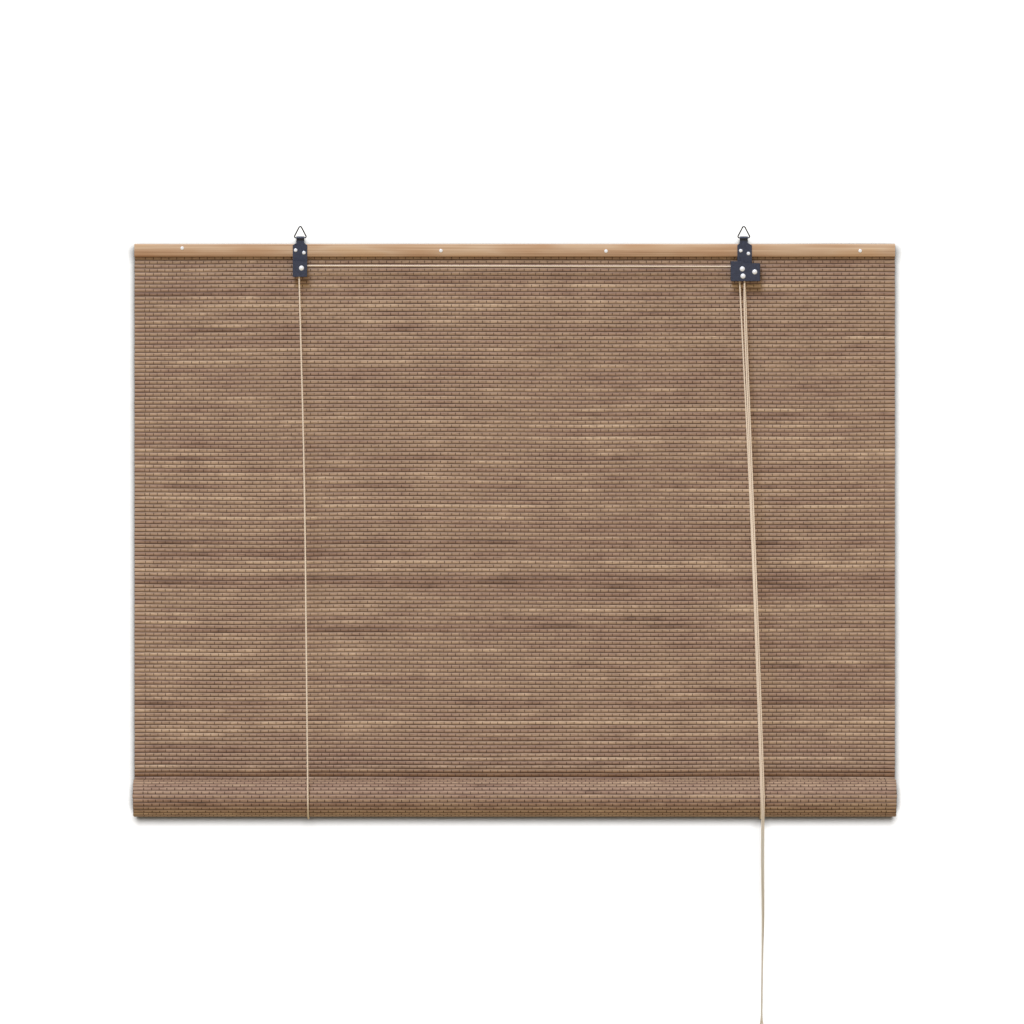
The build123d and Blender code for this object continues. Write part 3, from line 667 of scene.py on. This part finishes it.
splintFacts = {
    "Length": 1.0, "Height": rowHeight * matFacts["splintLap"], "Thickness": 0.0016, "Segments": 24, "Square": 0.62,
    "Uneven Length": 0.0008, "Uneven Height": 0.03, "Waver": (0.0, 0.0002, 0.0005), "Sag": matFacts["sag"], "Seed": 3,
    "Finish": splintBamboo,
}
stitchFacts = {
    "Columns": 96, "Pitch": 0.01005, "Shift": 0.005025, "Even": 0, "Width": 0.00115,
    "Height": rowHeight * matFacts["stitchLap"], "Rise": 0.00117, "Dive": 0.0002, "Side": -1.0, "Along": 4, "Across": 3,
    "Wander": 0.003, "Sag": matFacts["sag"], "Finish": warpCotton,
}
selvedgeFacts = {"Columns": 2, "Pitch": 0.9718, "Shift": 0.0008, "Width": 0.0013, "Wander": 0.0015}
backFacts = {"Side": 1.0, "Even": 1}

matLine = newLine("hangingLine", [(0, matMiddle, matHigh.z - rowHeight / 2),
                                  (0, matMiddle, matLow.z + rowHeight / 2)], "POLY")
splintFacts["Rows"] = stitchFacts["Rows"] = rowCount
hangingPieces = [
    growPiece("hangingSplints", matLine, splintTree, splintFacts),
    growPiece("hangingWarpFront", matLine, stitchTree, stitchFacts),
    growPiece("hangingWarpBack", matLine, stitchTree, {**stitchFacts, **backFacts, "Across": 2}),
    growPiece("hangingSelvedgeFront", matLine, stitchTree, {**stitchFacts, **selvedgeFacts}),
    growPiece("hangingSelvedgeBack", matLine, stitchTree, {**stitchFacts, **selvedgeFacts, **backFacts}),
]
bpy.data.objects.remove(matLine)
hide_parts("hanging_mat")
for piece in hangingPieces:
    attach(piece, "head")
    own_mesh(piece)
print("hanging mat made")

rollFacts = {
    "outside": 0.0257, "turnPitch": 0.0024, "core": 0.0084, "lineInset": 0.0009, "stepsPerTurn": 48,
    "threadTurns": 1.02,  # the warp shows on the outer turn alone
}


def rollLine(turns):  # the spiral that the mat's middle follows, from behind, down and round to the front
    points = []
    for step in range(round(turns * rollFacts["stepsPerTurn"]) + 1):
        turned = math.tau * step / rollFacts["stepsPerTurn"]
        reach = rollFacts["outside"] - rollFacts["lineInset"] - rollFacts["turnPitch"] * turned / math.tau
        points.append((0, rollMiddle.y + reach * math.cos(turned), rollMiddle.z - reach * math.sin(turned)))
    return points


def lineRows(points):  # how many splints lie along a line
    return round(sum((Vector(b) - Vector(a)).length for a, b in zip(points, points[1:])) / rowHeight) + 1


wholeRoll = rollLine((rollFacts["outside"] - rollFacts["core"]) / rollFacts["turnPitch"])
outerTurn = rollLine(rollFacts["threadTurns"])
wholeLine = newLine("wholeRoll", wholeRoll, "POLY")
outerLine = newLine("outerTurn", outerTurn, "POLY")
rolledSplintFacts = {
    **splintFacts, "Rows": lineRows(wholeRoll), "Segments": 16, "Waver": (0.0, 0.0003, 0.0003), "Sag": 0.0, "Seed": 8,
    "Uneven Length": 0.003,
}
rolledStitchFacts = {"Rows": lineRows(outerTurn), "Side": 1.0, "Rise": 0.00125, "Sag": 0.0}
rollPieces = [
    growPiece("rolledSplints", wholeLine, splintTree, rolledSplintFacts),
    growPiece("rolledWarp", outerLine, stitchTree, {**stitchFacts, **rolledStitchFacts}),
    growPiece("rolledSelvedge", outerLine, stitchTree, {**stitchFacts, **selvedgeFacts, **rolledStitchFacts}),
]
bpy.data.objects.remove(wholeLine)
bpy.data.objects.remove(outerLine)
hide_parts("rolled_mat")
for piece in rollPieces:
    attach(piece, "roll")
print("roll made")


# studio: white wall close behind, soft light from above and in front

studioFacts = {
    "wallBehind": 0.0006,
    "wallSize": 6.0,
    "contactReach": 0.014, "contactPower": 4.0,  # a short soft shade where the blind is close to the wall
    "contactNormal": (0.0, -0.65, 0.76),  # open upwards, where the light comes from
    "washStrength": 18.5, "washFrom": (0.0, -1.0, 0.285), "washAngle": math.radians(23),
    "washColour": "ffffff",  # for the wall alone
    "keyStrength": 2.8, "keyFrom": (-0.3, -1.0, 1.2), "keyAngle": math.radians(24),
    "keyColour": "d2e1ff",  # cool, from above, on all but the wall
    "skyStrength": 0.59, "skyColour": "fff2d7",  # warm light from all round
}

half = studioFacts["wallSize"] / 2
wallMesh = bpy.data.meshes.new("studioWall")
wallCorners = [(x, studioFacts["wallBehind"], z + cameraFacts["aim"][1])
               for x, z in ((-half, -half), (half, -half), (half, half), (-half, half))]
wallMesh.from_pydata(wallCorners, [], [(0, 1, 2, 3)])
wall = bpy.data.objects.new("studioWall", wallMesh)
scene.collection.objects.link(wall)
wall.visible_shadow = False  # the back of the blind stays in the light
wall.visible_diffuse = False
wall.visible_glossy = False
wall.visible_transmission = False

# matt paint under a strong light of its own, white to the eye, open from behind so that the back can be seen
wallPaint, tree, shader = newSurface("mattWallPaint", roughness=0.9)
shader.inputs["Specular IOR Level"].default_value = 0.0
paintNoise = addNoise(tree, objectPlace(tree), 300.0)["Fac"]  # 3 mm
paintTone = addRamp(tree, paintNoise, [(0.0, "7b7b7b"), (1.0, "7d7d7d")])
contact = addNode(tree, "ShaderNodeAmbientOcclusion", {"samples": 16}, {
    "Distance": studioFacts["contactReach"], "Normal": addXyz(tree, *studioFacts["contactNormal"])})
contactShare = addMath(tree, "POWER", contact.outputs["AO"], studioFacts["contactPower"])
paintShade = addNode(tree, "ShaderNodeMix", {"data_type": "RGBA"},
                     {0: contactShare, 6: hexColour("000000"), 7: paintTone})
tree.links.new(paintShade.outputs[2], shader.inputs["Base Color"])
facing = addNode(tree, "ShaderNodeNewGeometry")
clear = addNode(tree, "ShaderNodeBsdfTransparent")
paintMix = addNode(tree, "ShaderNodeMixShader", None,
                   {0: facing.outputs["Backfacing"], 1: shader.outputs[0], 2: clear.outputs[0]})
tree.links.new(paintMix.outputs[0], tree.nodes["Material Output"].inputs["Surface"])
wallMesh.materials.append(wallPaint)

lamps = {}
for name in ("key", "wash"):
    light = bpy.data.lights.new(name + "Light", "SUN")
    light.energy = studioFacts[name + "Strength"]
    light.angle = studioFacts[name + "Angle"]
    light.color = hexColour(studioFacts[name + "Colour"])[:3]
    lamps[name] = bpy.data.objects.new(name + "Light", light)
    lamps[name].rotation_euler = Vector(studioFacts[name + "From"]).to_track_quat("Z", "Y").to_euler()
    scene.collection.objects.link(lamps[name])
notWall = bpy.data.collections.new("notWall")
notWall.objects.link(wall)
notWall.collection_objects[0].light_linking.link_state = "EXCLUDE"
onlyWall = bpy.data.collections.new("onlyWall")
onlyWall.objects.link(wall)
lamps["key"].light_linking.receiver_collection = notWall
lamps["wash"].light_linking.receiver_collection = onlyWall

sky = bpy.data.worlds.new("studioSky")
sky.use_nodes = True
scene.world = sky
tree = sky.node_tree
skyLight = tree.nodes["Background"]
skyLight.inputs["Color"].default_value = hexColour(studioFacts["skyColour"])
skyLight.inputs["Strength"].default_value = studioFacts["skyStrength"]
skyWhite = addNode(tree, "ShaderNodeBackground", None, {"Color": hexColour("ffffff"), "Strength": 1.0})
seen = addNode(tree, "ShaderNodeLightPath")
skyMix = addNode(tree, "ShaderNodeMixShader", None,
                 {0: seen.outputs["Is Camera Ray"], 1: skyLight.outputs[0], 2: skyWhite.outputs[0]})
tree.links.new(skyMix.outputs[0], tree.nodes["World Output"].inputs["Surface"])
scene.view_settings.view_transform = "Standard"
print("studio lit")
